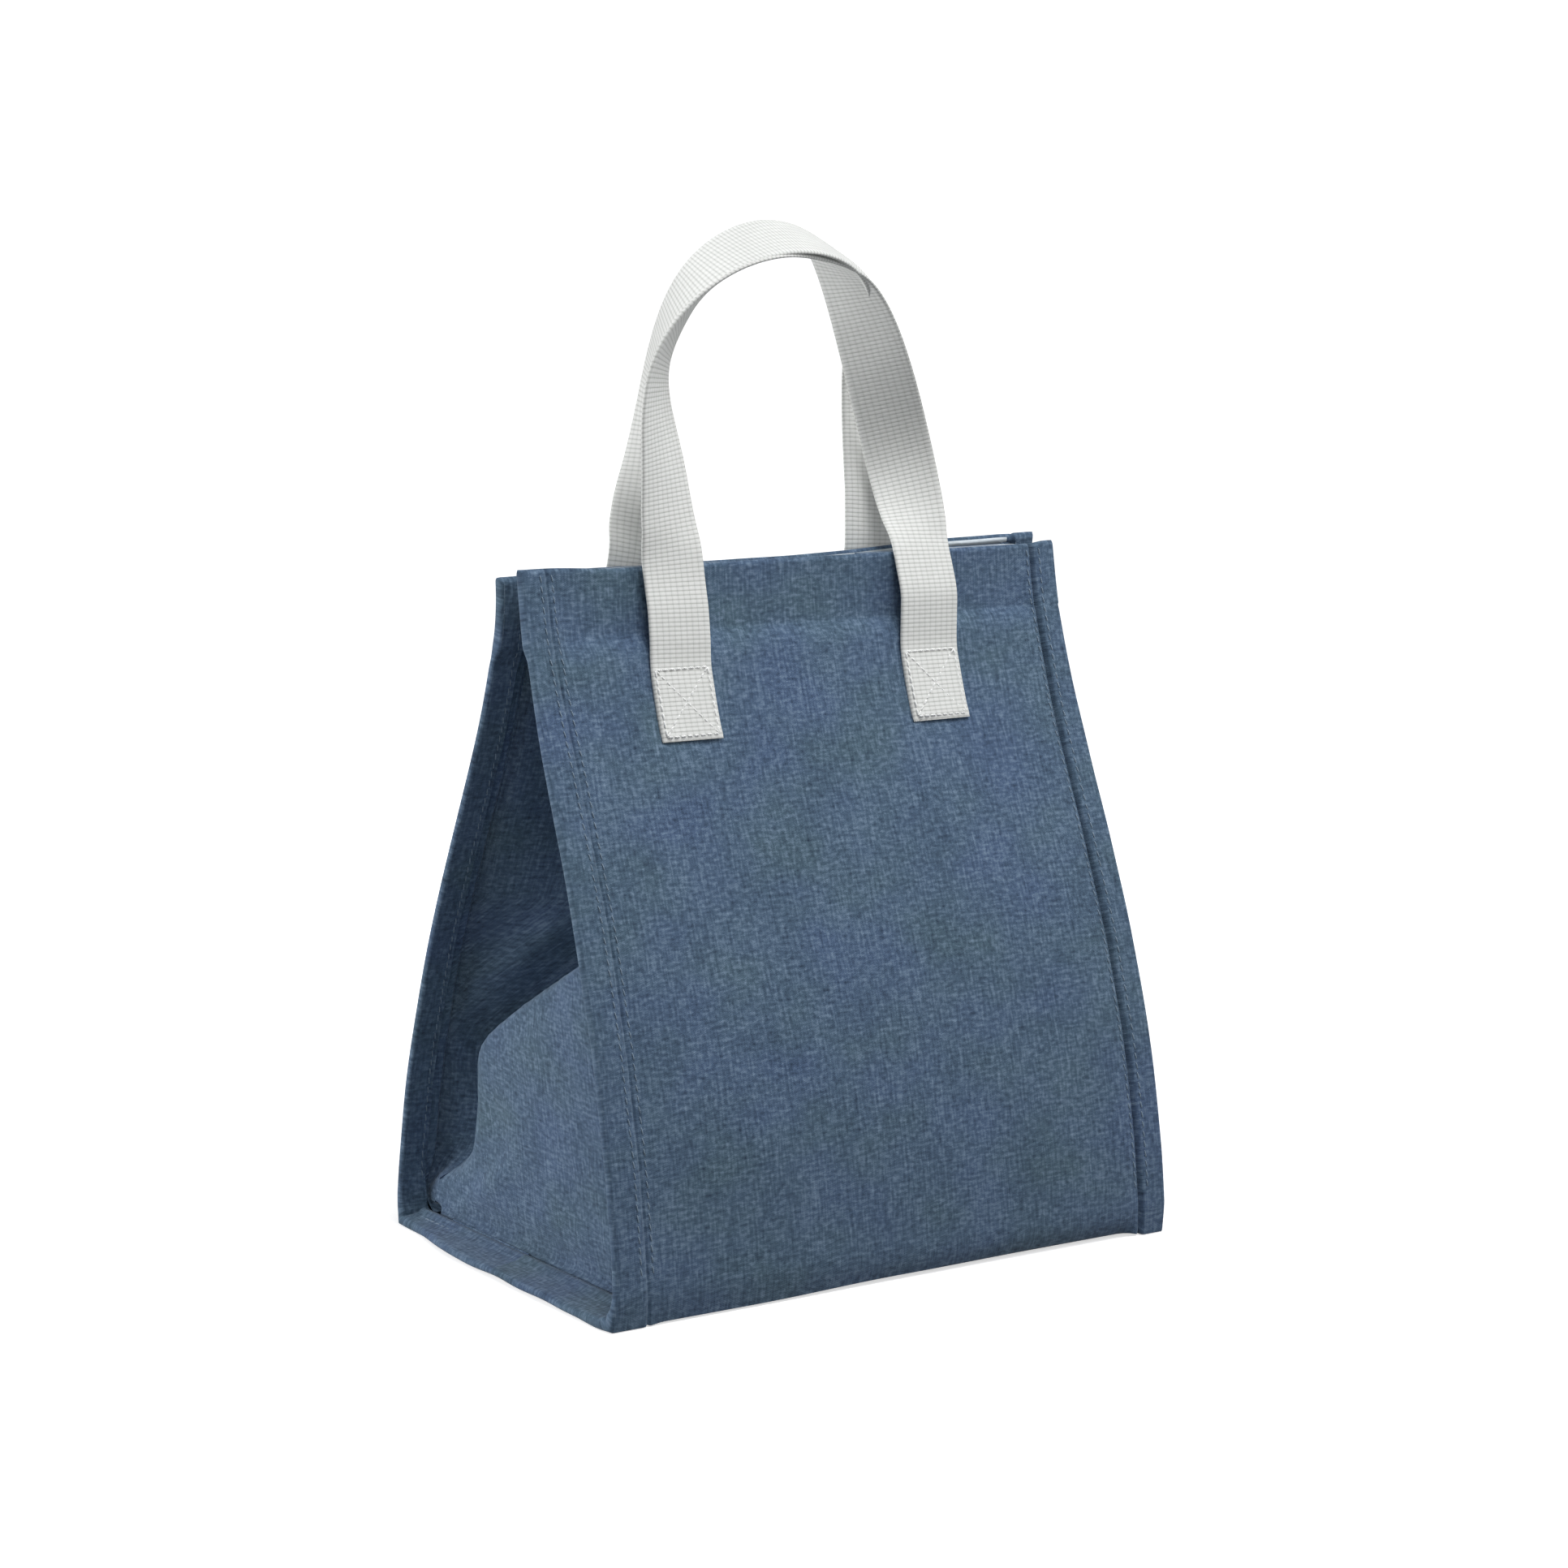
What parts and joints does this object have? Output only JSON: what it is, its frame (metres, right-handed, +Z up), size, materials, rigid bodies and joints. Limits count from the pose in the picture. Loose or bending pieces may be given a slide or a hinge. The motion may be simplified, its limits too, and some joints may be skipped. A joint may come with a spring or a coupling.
{
  "type": "cooler bag",
  "caption": "Insulated soft tote with folded side gussets, leaning walls that open at the top, and webbing loop handles sewn on with box stitches.",
  "frame": {"origin": "on the floor, at the middle of the base", "axes": "+X along the bag to the right as seen from the front, -Y towards the front, +Z up"},
  "size_m": [0.26, 0.176, 0.411],
  "materials": {
    "fabric": "woven heather polyester, blue grey with paler flecks, matt",
    "webbing": "ribbed off-white polypropylene webbing, matt",
    "thread": "off-white sewing thread",
    "foam": "closed-cell foam sheet, matt",
    "lining": "wipeable silver-grey film lining, satin",
    "board": "plain stiffening board",
    "closure_strip": "hook and loop tape"
  },
  "bodies": {
    "base": {"base_shell": "fabric", "base_foam": "foam", "base_board": "board", "base_lining": "lining", "base_fin_left": "fabric", "base_fin_right": "fabric", "gusset_lower_left": "fabric", "gusset_lower_right": "fabric", "gusset_shelf_left": "fabric", "gusset_shelf_right": "fabric"},
    "front_wall": {"front_panel": "fabric", "front_foam": "foam", "front_lining": "lining", "front_hem_facing": "fabric", "front_closure_strip": "closure_strip", "front_fin_left": "fabric", "front_fin_right": "fabric", "front_foot_left": "webbing", "front_foot_right": "webbing", "front_box_stitch_left": "thread", "front_box_stitch_right": "thread"},
    "back_wall": {"back_panel": "fabric", "back_foam": "foam", "back_lining": "lining", "back_hem_facing": "fabric", "back_closure_strip": "closure_strip", "back_fin_left": "fabric", "back_fin_right": "fabric", "back_foot_left": "webbing", "back_foot_right": "webbing", "back_box_stitch_left": "thread", "back_box_stitch_right": "thread"},
    "front_left_gusset": {"gusset_front_left": "fabric"},
    "front_right_gusset": {"gusset_front_right": "fabric"},
    "back_left_gusset": {"gusset_back_left": "fabric"},
    "back_right_gusset": {"gusset_back_right": "fabric"},
    "front_handle_loop": {"front_handle": "webbing"},
    "back_handle_loop": {"back_handle": "webbing"}
  },
  "joints": [
    {"name": "front_wall_swing", "type": "hinge", "parent": "base", "child": "front_wall", "pos_m": [0, -0.088, 0.013], "axis": [1, 0, 0], "range_deg": [0, 15]},
    {"name": "back_wall_swing", "type": "hinge", "parent": "base", "child": "back_wall", "pos_m": [0, 0.088, 0.013], "axis": [-1, 0, 0], "range_deg": [0, 15]},
    {"name": "front_left_gusset_fold", "type": "hinge", "parent": "front_wall", "child": "front_left_gusset", "pos_m": [-0.1187, -0.05266, 0.1294], "axis": [0, 0.3272, 0.9449], "range_deg": [0, 45]},
    {"name": "front_right_gusset_fold", "type": "hinge", "parent": "front_wall", "child": "front_right_gusset", "pos_m": [0.1187, -0.05266, 0.1294], "axis": [0, -0.3272, -0.9449], "range_deg": [0, 45]},
    {"name": "back_left_gusset_fold", "type": "hinge", "parent": "back_wall", "child": "back_left_gusset", "pos_m": [-0.1187, 0.07361, 0.05852], "axis": [0, 0.3133, -0.9497], "range_deg": [0, 45]},
    {"name": "back_right_gusset_fold", "type": "hinge", "parent": "back_wall", "child": "back_right_gusset", "pos_m": [0.1187, 0.07361, 0.05852], "axis": [0, -0.3133, 0.9497], "range_deg": [0, 45]},
    {"name": "front_handle_swing", "type": "hinge", "parent": "front_wall", "child": "front_handle_loop", "pos_m": [0, -0.01994, 0.239], "axis": [1, 0, 0], "range_deg": [0, 145]},
    {"name": "back_handle_swing", "type": "hinge", "parent": "back_wall", "child": "back_handle_loop", "pos_m": [0, 0.01994, 0.239], "axis": [-1, 0, 0], "range_deg": [0, 145]}
  ],
  "couplings": [
    {"joint": "back_wall_swing", "follows": "front_wall_swing", "ratio": 1},
    {"joint": "front_left_gusset_fold", "follows": "front_wall_swing", "ratio": 3},
    {"joint": "front_right_gusset_fold", "follows": "front_wall_swing", "ratio": 3},
    {"joint": "back_left_gusset_fold", "follows": "front_wall_swing", "ratio": 3},
    {"joint": "back_right_gusset_fold", "follows": "front_wall_swing", "ratio": 3}
  ]
}
